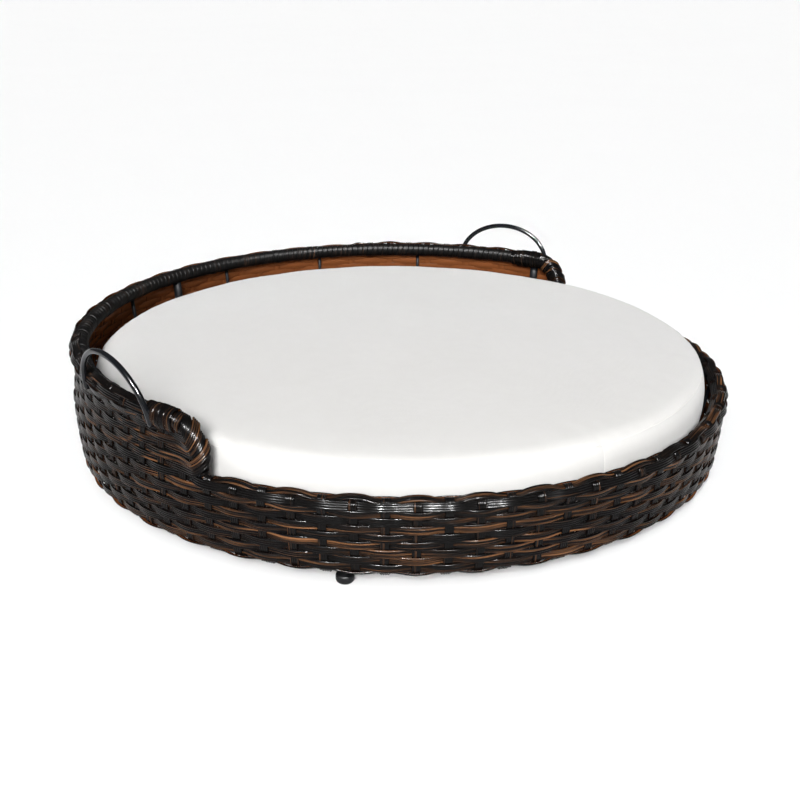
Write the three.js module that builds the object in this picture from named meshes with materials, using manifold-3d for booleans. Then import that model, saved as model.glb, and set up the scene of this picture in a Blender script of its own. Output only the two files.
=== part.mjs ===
// Round wicker pet bed basket: a welded frame of bent tube under a woven wall that is low across
// the front and high around the back, with a loose foam cushion on a woven floor.
// Millimetres, +Z up. The origin is on the floor under the centre, the high back faces +Y and
// the low front faces -Y. A "turn" is an angle in degrees around +Z, counted from the middle of
// the back (+Y) towards the left side (-X), so the middle of the front is at 180.
import * as THREE from 'three';
import { mergeVertices } from 'three/addons/utils/BufferGeometryUtils.js';
import Module from 'manifold-3d';

const wasm = await Module();
wasm.setup();

// Overall sizes
const OUTER_RADIUS = 430; // outermost radius of the wrapped rims
const HIGH_RIM_Z = 157; // centre of the rim tube around the back
const LOW_RIM_Z = 98; // centre of the rail across the front
const GAP = 0.3; // left between faces that touch

// Frame tube, and the strip wound round it
const TUBE_RADIUS = 7;
const TUBE_WALL = 1.5;
const WRAP_RADIUS = 10;
const BINDING_RADIUS = 9.5; // of the strip under the base ring
const RIM_RADIUS = OUTER_RADIUS - WRAP_RADIUS; // centre line of rim tube and rail
const BASE_RING_RADIUS = 403.5;
const BASE_RING_Z = 20;

// How the rim tube turns down at each end of the high back
const LEVEL_END_TURN = 89; // the rim is level as far as this
const BEND_START_TURN = 89.4;
const LEG_TURN = 94;
const WRAP_JOINT = 0.05; // degrees between the rim's wrap and the end's wrap
const BEND_HEIGHT = 46;
const BEND_STEPS = 6;
const RAIL_END_TURN = 92.7; // the rail runs on under each leg as far as this
const ARC_STEP = 7.5; // degrees between the stations of every round part
const RING_SEGMENTS = 360 / ARC_STEP;

// Woven wall and floor
const WALL_BOTTOM_Z = 13;
const WALL_STRAIGHT_Z = LOW_RIM_Z - WRAP_RADIUS - GAP - 0.2; // no flare above this
const WALL_TOP_Z = HIGH_RIM_Z - WRAP_RADIUS - GAP;
const WALL_OUTER_RADIUS = OUTER_RADIUS - 1;
const WALL_THICKNESS = 5;
const WALL_FLARE = 13; // how far the foot of the wall is set in
const WALL_FLARE_STEPS = 4;
const FLOOR_RADIUS = 396.5;
const FLOOR_THICKNESS = 4.7;
const FLOOR_Z = BASE_RING_Z + TUBE_RADIUS + GAP;

// Uprights, welded between the base ring and the rims inside the wall
const POST = { radius: 6, bottomRadius: 404, topRadius: 416.2 };
const ROD = { radius: 2.5, bottomRadius: 406.5, topRadius: 419.2 };
const POST_TURNS = { post_back: 0, post_left: 88, post_front: 180, post_right: -88 };
const BACK_ROD_TURNS = [14, 37, 60];
const FRONT_ROD_TURNS = [120, 150];

// Handles: bent rod, welded to the outside of the rim tube and leaning out a little
const HANDLE_ROD_RADIUS = 3.5;
const HANDLE_HALF_WIDTH = 73;
const HANDLE_LEAN = 10;
const HANDLE_WELD_RADIUS = 431.8; // radius of the rod's feet, level with the rim tube
const HANDLE_FOOT_Z = WALL_TOP_Z + 0.8;
const HANDLE_LEG = 3;
const HANDLES = [
  { name: 'handle_left', turn: 75.5, apexZ: 211 },
  { name: 'handle_right', turn: -80, apexZ: 204 },
];

// Feet: plastic glides with a stem pushed into the base ring
const FOOT_RADIUS = 10;
const FOOT_PITCH_RADIUS = 405.5;
const FOOT_TURNS = { foot_left: 116, foot_front: 206, foot_right: -64, foot_back: 26 };
const STEM_RADIUS = 2.5;
const STEM_HOLE_RADIUS = 3;
const STEM_TOP_Z = 18;

// Cushion
const CUSHION_RADIUS = 392;
const CUSHION_TOP_Z = 137;
const CUSHION_BOTTOM_Z = FLOOR_Z + FLOOR_THICKNESS + GAP;
const COVER_THICKNESS = 2;
const EDGE_ROUND = 5; // how far the top and bottom edges are eased
const ZIP_FIRST_TURN = -30;
const ZIP_LAST_TURN = 30;
const ZIP_WIDTH = 24;
const ZIP_TAPE_THICKNESS = 1;
const ZIP_Z = (CUSHION_TOP_Z + CUSHION_BOTTOM_Z) / 2;
const SLIDER = { long: 11, tall: 8, thick: 3.4 };

const MATERIALS = {
  frame: { color: 0x131416, roughness: 0.35, metalness: 0.5 },
  weave: { color: 0x33241b, roughness: 0.4, metalness: 0 },
  wrap: { color: 0x2a1c14, roughness: 0.35, metalness: 0 },
  floorWeave: { color: 0x5d3a22, roughness: 0.5, metalness: 0 },
  foot: { color: 0x0d0d0e, roughness: 0.5, metalness: 0 },
  foam: { color: 0xe9dfb8, roughness: 0.95, metalness: 0 },
  cover: { color: 0xe4e2dd, roughness: 0.85, metalness: 0 },
  zipTape: { color: 0xd9d7d1, roughness: 0.8, metalness: 0 },
  zipMetal: { color: 0x9a9a98, roughness: 0.35, metalness: 0.8 },
};

// ---------- shapes ----------

const radians = THREE.MathUtils.degToRad;

/** A point at a turn, a radius and a height. */
function place(turn, radius, z) {
  const angle = radians(90 + turn);
  return new THREE.Vector3(radius * Math.cos(angle), radius * Math.sin(angle), z);
}

/** A corner of an octagon with flat top, bottom and sides. Corner 0 is just right of the top. */
function octagonCorner(flatRadius, corner) {
  const angle = radians(22.5 + 45 * corner);
  const radius = flatRadius / Math.cos(radians(22.5));
  return new THREE.Vector2(radius * Math.cos(angle), radius * Math.sin(angle));
}

function octagon(flatRadius) {
  return Array.from({ length: 8 }, (_, corner) => octagonCorner(flatRadius, corner));
}

function rectangle(fromX, toX, fromY, toY) {
  return new THREE.Shape([
    new THREE.Vector2(fromX, fromY),
    new THREE.Vector2(toX, fromY),
    new THREE.Vector2(toX, toY),
    new THREE.Vector2(fromX, toY),
  ]);
}

/** Section of a tube, open inside. */
function tubeSection() {
  const section = new THREE.Shape(octagon(TUBE_RADIUS));
  section.holes.push(new THREE.Path(octagon(TUBE_RADIUS - TUBE_WALL)));
  return section;
}

/** Section of a strip layer on a tube, over the octagon's corners first to last. */
function layerCorners(outerRadius, first, last) {
  const corners = Array.from({ length: last - first + 1 }, (_, k) => first + k);
  const outer = corners.map((corner) => octagonCorner(outerRadius, corner));
  const inner = corners.map((corner) => octagonCorner(TUBE_RADIUS + GAP, corner));
  return [...outer, ...inner.reverse()];
}

/** Stations at multiples of ARC_STEP between two turns, with both ends. */
function arcTurns(first, last) {
  const turns = [first];
  for (let turn = Math.ceil((first + 1) / ARC_STEP) * ARC_STEP; turn < last - 1; turn += ARC_STEP) {
    turns.push(turn);
  }
  return [...turns, last];
}

/**
 * A curve on an upright cylinder through stations of turn and height. A section's x follows the
 * cylinder's surface, upwards where the curve is level, and its y points away from the axis.
 */
class RimCurve extends THREE.Curve {
  constructor(radius, stations) {
    super();
    this.radius = radius;
    this.stations = stations;
  }

  getSpacedPoints() {
    return this.stations.map(({ turn, z }) => place(turn, this.radius, z));
  }

  computeFrenetFrames() {
    const points = this.getSpacedPoints();
    const frames = { tangents: [], normals: [], binormals: [] };
    points.forEach((point, i) => {
      const before = points[Math.max(i - 1, 0)];
      const after = points[Math.min(i + 1, points.length - 1)];
      const outward = new THREE.Vector3(point.x, point.y, 0).normalize();
      const tangent = after.clone().sub(before);
      tangent.addScaledVector(outward, -tangent.dot(outward)).normalize();
      frames.tangents.push(tangent);
      frames.normals.push(outward.clone().cross(tangent));
      frames.binormals.push(outward);
    });
    return frames;
  }
}

/** A section swept through stations on a cylinder. */
function sweep(section, radius, stations) {
  return new THREE.ExtrudeGeometry(section, {
    steps: stations.length - 1,
    bevelEnabled: false,
    extrudePath: new RimCurve(radius, stations),
  });
}

/** A level arc of a section. */
function sweepArc(section, radius, z, firstTurn, lastTurn) {
  return sweep(section, radius, arcTurns(firstTurn, lastTurn).map((turn) => ({ turn, z })));
}

/** A solid of revolution about +Z from [radius, z] points, with its first side facing -Y. */
function turned(points, segments = RING_SEGMENTS) {
  const profile = points.map(([radius, z]) => new THREE.Vector2(radius, z));
  const geometry = new THREE.LatheGeometry(profile, segments);
  geometry.rotateX(Math.PI / 2);
  return geometry;
}

/** The same, for a ring whose outline closes on itself. */
function turnedRing(points) {
  return turned([...points, points[0]]);
}

/** Stations of the turned-down end of the rim tube, from the level rim to the leg's foot. */
function endStations(side, legBottomZ) {
  const stations = [{ turn: side * LEVEL_END_TURN, z: HIGH_RIM_Z }];
  for (let step = 0; step <= BEND_STEPS; step += 1) {
    const angle = radians((90 * step) / BEND_STEPS);
    const turn = BEND_START_TURN + (LEG_TURN - BEND_START_TURN) * Math.sin(angle);
    const drop = BEND_HEIGHT * (1 - Math.cos(angle));
    stations.push({ turn: side * turn, z: HIGH_RIM_Z - drop });
  }
  const legTopZ = HIGH_RIM_Z - BEND_HEIGHT;
  if (legTopZ - legBottomZ > 1) {
    stations.push({ turn: side * LEG_TURN, z: legBottomZ });
  }
  return stations;
}

/** Stations of the whole hoop: up one leg, round the back and down the other. */
function hoopStations(legBottomZ) {
  const right = endStations(-1, legBottomZ).reverse();
  const left = endStations(1, legBottomZ);
  const level = arcTurns(-LEVEL_END_TURN, LEVEL_END_TURN).slice(1, -1);
  return [...right, ...level.map((turn) => ({ turn, z: HIGH_RIM_Z })), ...left];
}

// ---------- joining and cutting ----------

function toSolid(geometry) {
  const bare = geometry.clone();
  bare.deleteAttribute('normal');
  bare.deleteAttribute('uv');
  const merged = mergeVertices(bare, 1e-3);
  return new wasm.Manifold(new wasm.Mesh({
    numProp: 3,
    vertProperties: new Float32Array(merged.attributes.position.array),
    triVerts: new Uint32Array(merged.index.array),
  }));
}

function toGeometry(solid) {
  const { vertProperties, triVerts } = solid.getMesh();
  const geometry = new THREE.BufferGeometry();
  geometry.setAttribute('position', new THREE.BufferAttribute(vertProperties, 3));
  geometry.setIndex(new THREE.BufferAttribute(triVerts, 1));
  geometry.computeVertexNormals();
  return geometry;
}

/** A geometry with others cut out of it. Loose offcuts are dropped. */
function cut(geometry, cutters) {
  let solid = toSolid(geometry);
  for (const cutter of cutters) {
    solid = solid.subtract(toSolid(cutter));
  }
  const bodies = solid.decompose();
  bodies.sort((a, b) => b.volume() - a.volume());
  return toGeometry(bodies[0]);
}

function join(first, second) {
  return toGeometry(toSolid(first).add(toSolid(second)));
}

// ---------- the object ----------

const basket = new THREE.Group();

function addPart(name, geometry, material) {
  const mesh = new THREE.Mesh(geometry, new THREE.MeshStandardMaterial(MATERIALS[material]));
  mesh.name = name;
  basket.add(mesh);
  return mesh;
}

/** An upright prism at a turn, leaning from bottomRadius to topRadius with level ends. */
function upright({ radius, bottomRadius, topRadius }, turn, topZ) {
  const height = topZ - FLOOR_Z;
  const section = new THREE.Shape(octagon(radius));
  const geometry = new THREE.ExtrudeGeometry(section, { depth: height, bevelEnabled: false });
  const slope = (topRadius - bottomRadius) / height;
  geometry.applyMatrix4(new THREE.Matrix4().makeShear(0, 0, 0, 0, slope, 0));
  geometry.translate(bottomRadius, 0, FLOOR_Z);
  geometry.rotateZ(radians(90 + turn));
  return geometry;
}

/** A handle's centre line in its own plane: x across, y up from its feet. */
function handleCurve(rise, legDrop) {
  const path = new THREE.CurvePath();
  const arch = new THREE.EllipseCurve(0, 0, HANDLE_HALF_WIDTH, rise, 0, Math.PI);
  const points = [new THREE.Vector2(HANDLE_HALF_WIDTH, -legDrop)];
  points.push(...arch.getPoints(24));
  points.push(new THREE.Vector2(-HANDLE_HALF_WIDTH, -legDrop));
  for (let i = 1; i < points.length; i += 1) {
    const from = new THREE.Vector3(points[i - 1].x, points[i - 1].y, 0);
    const to = new THREE.Vector3(points[i].x, points[i].y, 0);
    path.add(new THREE.LineCurve3(from, to));
  }
  return path;
}

/** A handle's rod, set up on the rim. */
function handleRod({ turn, apexZ }, rodRadius) {
  const lean = radians(HANDLE_LEAN);
  const springZ = HANDLE_FOOT_Z + HANDLE_LEG;
  const rise = (apexZ - springZ) / Math.cos(lean);
  const geometry = new THREE.ExtrudeGeometry(new THREE.Shape(octagon(rodRadius)), {
    steps: 30,
    bevelEnabled: false,
    extrudePath: handleCurve(rise, HANDLE_LEG),
  });
  const chordRadius = Math.sqrt(HANDLE_WELD_RADIUS ** 2 - HANDLE_HALF_WIDTH ** 2);
  const weldDrop = HIGH_RIM_Z - springZ;
  geometry.rotateX(Math.PI / 2 - lean);
  geometry.translate(0, chordRadius - weldDrop * Math.tan(lean), springZ);
  geometry.rotateZ(radians(turn));
  return geometry;
}

function addFrame() {
  const legBottomZ = LOW_RIM_Z + TUBE_RADIUS + GAP;
  addPart('rim_hoop', sweep(tubeSection(), RIM_RADIUS, hoopStations(legBottomZ)), 'frame');
  const rail = sweepArc(tubeSection(), RIM_RADIUS, LOW_RIM_Z, RAIL_END_TURN, 360 - RAIL_END_TURN);
  addPart('low_rail', rail, 'frame');
  addPart('base_ring', baseRing(), 'frame');
  const reach = BASE_RING_RADIUS - TUBE_RADIUS - 0.8;
  addPart('cross_tube_long', crossTube(-reach, reach), 'frame').rotation.z = Math.PI / 2;
  addPart('cross_tube_front', crossTube(-reach, -TUBE_RADIUS - GAP), 'frame');
  addPart('cross_tube_back', crossTube(TUBE_RADIUS + GAP, reach), 'frame');
}

/** A straight tube along Y at the height of the base ring. */
function crossTube(fromY, toY, section = tubeSection()) {
  const geometry = new THREE.ExtrudeGeometry(section, { depth: toY - fromY, bevelEnabled: false });
  geometry.rotateX(-Math.PI / 2);
  geometry.translate(0, fromY, BASE_RING_Z);
  return geometry;
}

/** A ring round the base ring's centre line, from a section's corners. */
function baseSectionRing(corners) {
  const points = corners.map(({ x, y }) => [BASE_RING_RADIUS + y, BASE_RING_Z + x]);
  return turnedRing(points.reverse());
}

/** The hollow base ring, open to the holes that take the feet. */
function baseRing() {
  const core = baseSectionRing(octagon(TUBE_RADIUS - TUBE_WALL));
  return cut(baseSectionRing(octagon(TUBE_RADIUS)), [core, ...stemHoles()]);
}

/** Cutters for the holes under the base ring. */
function stemHoles() {
  return Object.values(FOOT_TURNS).map((turn) => {
    const hole = new THREE.CylinderGeometry(STEM_HOLE_RADIUS, STEM_HOLE_RADIUS, STEM_TOP_Z, 10);
    hole.rotateX(Math.PI / 2);
    const centre = place(turn, FOOT_PITCH_RADIUS, STEM_TOP_Z / 2);
    return hole.translate(centre.x, centre.y, centre.z);
  });
}

function addUprights() {
  const highZ = HIGH_RIM_Z - TUBE_RADIUS - GAP;
  const lowZ = LOW_RIM_Z - TUBE_RADIUS - GAP;
  for (const [name, turn] of Object.entries(POST_TURNS)) {
    addPart(name, upright(POST, turn, turn === POST_TURNS.post_front ? lowZ : highZ), 'frame');
  }
  BACK_ROD_TURNS.forEach((turn, i) => {
    addPart(`rod_back_left_${i + 1}`, upright(ROD, turn, highZ), 'frame');
    addPart(`rod_back_right_${i + 1}`, upright(ROD, -turn, highZ), 'frame');
  });
  FRONT_ROD_TURNS.forEach((turn, i) => {
    addPart(`rod_front_left_${i + 1}`, upright(ROD, turn, lowZ), 'frame');
    addPart(`rod_front_right_${i + 1}`, upright(ROD, -turn, lowZ), 'frame');
  });
}

/** The woven wall: a flared band all the way round, with a taller band round the back. */
function wovenWall() {
  const outer = [];
  for (let step = 0; step <= WALL_FLARE_STEPS; step += 1) {
    const t = step / WALL_FLARE_STEPS;
    const z = THREE.MathUtils.lerp(WALL_BOTTOM_Z, WALL_STRAIGHT_Z, t);
    outer.push([WALL_OUTER_RADIUS - WALL_FLARE * (1 - t) ** 2, z]);
  }
  const inner = outer.map(([radius, z]) => [radius - WALL_THICKNESS, z]).reverse();
  const band = turnedRing([...outer, ...inner]);

  const height = WALL_TOP_Z - WALL_STRAIGHT_Z;
  const section = rectangle(0, height, -WALL_THICKNESS, 0);
  const back = sweepArc(section, WALL_OUTER_RADIUS, WALL_STRAIGHT_Z, -LEG_TURN, LEG_TURN);
  const reach = WRAP_RADIUS + GAP;
  const hoopRoom = sweep(rectangle(-reach, reach, -reach, reach), RIM_RADIUS, hoopStations(WALL_STRAIGHT_Z));
  return cut(join(band, back), [hoopRoom]);
}

function addWeave() {
  addPart('woven_wall', wovenWall(), 'weave');

  const floorTopZ = FLOOR_Z + FLOOR_THICKNESS;
  const floor = turned([[0, FLOOR_Z], [FLOOR_RADIUS, FLOOR_Z], [FLOOR_RADIUS, floorTopZ], [0, floorTopZ]]);
  addPart('woven_floor', floor, 'floorWeave');

  const layer = new THREE.Shape(layerCorners(WRAP_RADIUS, -3, 3));
  const rodRooms = HANDLES.map((handle) => handleRod(handle, HANDLE_ROD_RADIUS + GAP));
  const wrapEnd = LEVEL_END_TURN - WRAP_JOINT;
  const rimWrap = sweepArc(layer, RIM_RADIUS, HIGH_RIM_Z, -wrapEnd, wrapEnd);
  addPart('rim_wrap', cut(rimWrap, rodRooms), 'wrap');

  const wrapBottomZ = LOW_RIM_Z + WRAP_RADIUS + GAP;
  const endWraps = {
    end_wrap_left: endStations(1, wrapBottomZ),
    end_wrap_right: endStations(-1, wrapBottomZ).reverse(),
  };
  for (const [name, stations] of Object.entries(endWraps)) {
    addPart(name, cut(sweep(layer, RIM_RADIUS, stations), rodRooms), 'wrap');
  }

  const legRoom = new THREE.Shape(octagon(TUBE_RADIUS + GAP));
  const legRooms = sweep(legRoom, RIM_RADIUS, hoopStations(LOW_RIM_Z));
  const border = sweepArc(layer, RIM_RADIUS, LOW_RIM_Z, RAIL_END_TURN, 360 - RAIL_END_TURN);
  addPart('low_border', cut(border, [legRooms]), 'wrap');

  const binding = baseSectionRing(layerCorners(BINDING_RADIUS, 3, 5));
  const tubeRoom = new THREE.Shape(octagon(TUBE_RADIUS + GAP));
  const lengthwise = crossTube(-BASE_RING_RADIUS, BASE_RING_RADIUS, tubeRoom);
  const crosswise = lengthwise.clone().rotateZ(Math.PI / 2);
  addPart('base_binding', cut(binding, [lengthwise, crosswise, ...stemHoles()]), 'wrap');
}

function addHandles() {
  for (const handle of HANDLES) {
    addPart(handle.name, handleRod(handle, HANDLE_ROD_RADIUS), 'frame');
  }
}

function addFeet() {
  const headTopZ = BASE_RING_Z - BINDING_RADIUS - GAP;
  const profile = [
    [0, 0],
    [FOOT_RADIUS - 2, 0],
    [FOOT_RADIUS, 2],
    [FOOT_RADIUS, headTopZ - 2],
    [FOOT_RADIUS - 2, headTopZ],
    [STEM_RADIUS, headTopZ],
    [STEM_RADIUS, STEM_TOP_Z],
    [0, STEM_TOP_Z],
  ];
  for (const [name, turn] of Object.entries(FOOT_TURNS)) {
    const foot = addPart(name, turned(profile, 12), 'foot');
    foot.position.copy(place(turn, FOOT_PITCH_RADIUS, 0));
  }
}

/** A box bent round the cushion's side. */
function sideStrip(innerRadius, thickness, height, z, firstTurn, lastTurn) {
  const section = rectangle(-height / 2, height / 2, 0, thickness);
  return sweepArc(section, innerRadius, z, firstTurn, lastTurn);
}

function addCushion() {
  const foamRadius = CUSHION_RADIUS - COVER_THICKNESS - GAP;
  const foamBottomZ = CUSHION_BOTTOM_Z + COVER_THICKNESS + GAP;
  const foamTopZ = CUSHION_TOP_Z - COVER_THICKNESS - GAP;
  const foam = turned([
    [0, foamBottomZ],
    [foamRadius - EDGE_ROUND, foamBottomZ],
    [foamRadius, foamBottomZ + EDGE_ROUND],
    [foamRadius, foamTopZ - EDGE_ROUND],
    [foamRadius - EDGE_ROUND, foamTopZ],
    [0, foamTopZ],
  ]);
  addPart('foam_core', foam, 'foam');

  // Top and bottom panels are shallow dishes whose eased edges meet the boxing band.
  const panelRadius = CUSHION_RADIUS - EDGE_ROUND;
  const seamTopZ = CUSHION_TOP_Z - EDGE_ROUND;
  const seamBottomZ = CUSHION_BOTTOM_Z + EDGE_ROUND;
  const top = turned([
    [0, CUSHION_TOP_Z - COVER_THICKNESS],
    [panelRadius - 1, CUSHION_TOP_Z - COVER_THICKNESS],
    [CUSHION_RADIUS - COVER_THICKNESS, seamTopZ],
    [CUSHION_RADIUS, seamTopZ],
    [panelRadius, CUSHION_TOP_Z],
    [0, CUSHION_TOP_Z],
  ]);
  addPart('cover_top', top, 'cover');
  const bottom = turned([
    [0, CUSHION_BOTTOM_Z],
    [panelRadius, CUSHION_BOTTOM_Z],
    [CUSHION_RADIUS, seamBottomZ],
    [CUSHION_RADIUS - COVER_THICKNESS, seamBottomZ],
    [panelRadius - 1, CUSHION_BOTTOM_Z + COVER_THICKNESS],
    [0, CUSHION_BOTTOM_Z + COVER_THICKNESS],
  ]);
  addPart('cover_bottom', bottom, 'cover');
  const band = turnedRing([
    [CUSHION_RADIUS - COVER_THICKNESS, seamBottomZ + GAP],
    [CUSHION_RADIUS, seamBottomZ + GAP],
    [CUSHION_RADIUS, seamTopZ - GAP],
    [CUSHION_RADIUS - COVER_THICKNESS, seamTopZ - GAP],
  ]);
  addPart('cover_band', band, 'cover');

  const tapeRadius = CUSHION_RADIUS + GAP;
  const tape = sideStrip(tapeRadius, ZIP_TAPE_THICKNESS, ZIP_WIDTH, ZIP_Z, ZIP_FIRST_TURN, ZIP_LAST_TURN);
  addPart('zip_tape', tape, 'zipTape');

  const sliderRadius = tapeRadius + ZIP_TAPE_THICKNESS + GAP;
  const slider = new THREE.BoxGeometry(SLIDER.long, SLIDER.thick, SLIDER.tall);
  slider.translate(0, sliderRadius + SLIDER.thick / 2, ZIP_Z);
  addPart('zip_slider', slider, 'zipMetal').rotation.z = radians(ZIP_FIRST_TURN + 2);
}

addFrame();
addUprights();
addWeave();
addHandles();
addFeet();
addCushion();

export default basket;
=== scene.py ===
"""Round wicker pet bed basket with a loose cushion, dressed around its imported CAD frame.

Metres, +Z up, the CAD's own frame: the origin is on the floor under the centre, the high back
faces +Y and the low front faces -Y. A "turn" is an angle in degrees around +Z, counted from the
middle of the back (+Y) towards the left side (-X), so the middle of the front is at 180.
"""

import math
import random

import bpy
import numpy as np
from mathutils import Matrix, Vector


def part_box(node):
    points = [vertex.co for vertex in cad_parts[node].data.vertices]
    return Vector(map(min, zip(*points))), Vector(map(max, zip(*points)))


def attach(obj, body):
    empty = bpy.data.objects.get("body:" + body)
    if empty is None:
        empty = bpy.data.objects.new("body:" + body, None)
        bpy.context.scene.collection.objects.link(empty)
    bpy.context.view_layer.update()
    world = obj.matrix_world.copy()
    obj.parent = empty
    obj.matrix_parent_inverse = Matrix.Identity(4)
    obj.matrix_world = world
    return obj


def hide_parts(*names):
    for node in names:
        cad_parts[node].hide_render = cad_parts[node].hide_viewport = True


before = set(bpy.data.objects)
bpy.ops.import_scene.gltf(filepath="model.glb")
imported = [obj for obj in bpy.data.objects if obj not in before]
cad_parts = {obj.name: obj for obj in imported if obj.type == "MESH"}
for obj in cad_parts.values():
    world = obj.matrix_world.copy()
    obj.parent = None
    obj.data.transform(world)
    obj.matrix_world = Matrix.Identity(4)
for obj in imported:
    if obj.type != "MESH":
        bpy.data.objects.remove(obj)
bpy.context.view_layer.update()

MM = 0.001

# ---------- sizes read from the frame ----------


def top_of(node):
    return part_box(node)[1].z


def bottom_of(node):
    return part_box(node)[0].z


TUBE_RADIUS = (top_of("low_rail") - bottom_of("low_rail")) / 2
LOW_RIM_Z = (top_of("low_rail") + bottom_of("low_rail")) / 2
HIGH_RIM_Z = top_of("rim_hoop") - TUBE_RADIUS
RIM_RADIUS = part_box("rim_hoop")[1].y - TUBE_RADIUS
RIM_INSET = 5 * MM  # how much closer in the high rim is, as the back leans in a little
HIGH_RIM_RADIUS = RIM_RADIUS - RIM_INSET
BASE_RING_Z = top_of("base_ring") - TUBE_RADIUS
BASE_RING_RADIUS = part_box("base_ring")[1].y - TUBE_RADIUS
WALL_OUTER_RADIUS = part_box("woven_wall")[1].y
WALL_BOTTOM_Z = bottom_of("woven_wall")
FLOOR_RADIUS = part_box("woven_floor")[1].y
FLOOR_Z = (top_of("woven_floor") + bottom_of("woven_floor")) / 2
CUSHION_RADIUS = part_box("cover_top")[1].y
CUSHION_TOP_Z = top_of("cover_top")
CUSHION_BOTTOM_Z = bottom_of("cover_bottom")

# ---------- other sizes ----------

# Stakes and rows of the woven wall
STAKES = 82
STAKE_PITCH = 360 / STAKES
FIRST_STAKE_TURN = 122.12
ROW_PITCH = 9.25 * MM
BACK_ROW_PITCH = 8.75 * MM
SHARED_ROWS = 10  # rows that go all the way round, the top one at the low rail
BACK_ROWS = 5  # more rows round the high back only
ANCHOR_ROW = 7
ANCHOR_Z = 83 * MM
WALL_FLARE = 7 * MM
WALL_STRAIGHT_Z = 87.5 * MM
WEAVE_DEPTH = 3.0 * MM  # from the wall's outer face in to the middle of the weave
STATIONS_PER_STAKE = 6
JOIN_STAKE = 54

# The turned-down ends of the high rim
LEVEL_END_TURN = 89
BEND_START_TURN = 89.4
LEG_TURN = 94
BEND_HEIGHT = 46 * MM
LEG_BOTTOM_Z = LOW_RIM_Z + TUBE_RADIUS + 0.3 * MM
RAIL_END_TURN = 92.7

# Where the weave carries on over the high rim, at both sides
OVER_RIM_FIRST = 46
OVER_RIM_LAST = 86


# ---------- small helpers ----------


def smooth_step(x):
    x = np.clip(x, 0, 1)
    return x * x * (3 - 2 * x)


def unit(v):
    return v / np.linalg.norm(v, axis=-1, keepdims=True)


def outward(turn):
    """Unit vectors away from the axis at turns in degrees."""
    t = np.radians(turn)
    return np.stack([-np.sin(t), np.cos(t), np.zeros_like(t)], -1)


def place(turn, radius, z):
    """Points at turns in degrees, radii and heights."""
    turn, radius, z = np.broadcast_arrays(np.asarray(turn, float), radius, z)
    points = outward(turn) * radius[..., None]
    points[..., 2] = z
    return points


def averaged(points, passes, closed=False):
    """A polyline with each inner point moved to the mean of itself and its neighbours."""
    points = points.copy()
    for _ in range(passes):
        before, after = np.roll(points, 1, 0), np.roll(points, -1, 0)
        mean = (before + points + after) / 3
        if not closed:
            mean[0], mean[-1] = points[0], points[-1]
        points = mean
    return points


def waves(rng, reach, counts=(3, 7, 13, 29, 41)):
    """A smooth random function of a turn that closes on itself, within about +-reach."""
    parts = [(n, rng.uniform(0, 2 * math.pi), rng.uniform(0.5, 1)) for n in counts]
    total = sum(size for _, _, size in parts) / 1.6

    def value(turn):
        t = np.radians(turn)
        return reach * sum(size * np.cos(n * t + phase) for n, phase, size in parts) / total

    return value


def add_object(name, data):
    made = bpy.data.objects.new(name, data)
    bpy.context.scene.collection.objects.link(made)
    return made


# ---------- strips swept along paths ----------


def ridged_section(width, thickness, ridges, steps=4):
    """A flat strip's outline with round ridges on its outer face: rows of x, y, v, side."""
    half, low = width / 2, -thickness / 2
    rows = [(-half * 0.94, low, 0.0, 0.0), (half * 0.94, low, 1.0, 0.0)]
    count = ridges * steps
    for i in range(count, -1, -1):
        share = i / count
        rise = math.sin(math.pi * ((i / steps) % 1)) ** 0.8 if i % steps else 0.0
        edge = 0.35 if i in (0, count) else 1.0
        y = low + thickness * (0.55 * edge + 0.45 * rise)
        rows.append((half * (2 * share - 1), y, share, 1.0))
    return np.array(rows)


def round_section(radius, sides=16):
    """A round rod's outline."""
    rows = []
    for i in range(sides):
        a = 2 * math.pi * i / sides
        rows.append((radius * math.cos(a), radius * math.sin(a), i / sides, 1.0))
    return np.array(rows)


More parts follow.
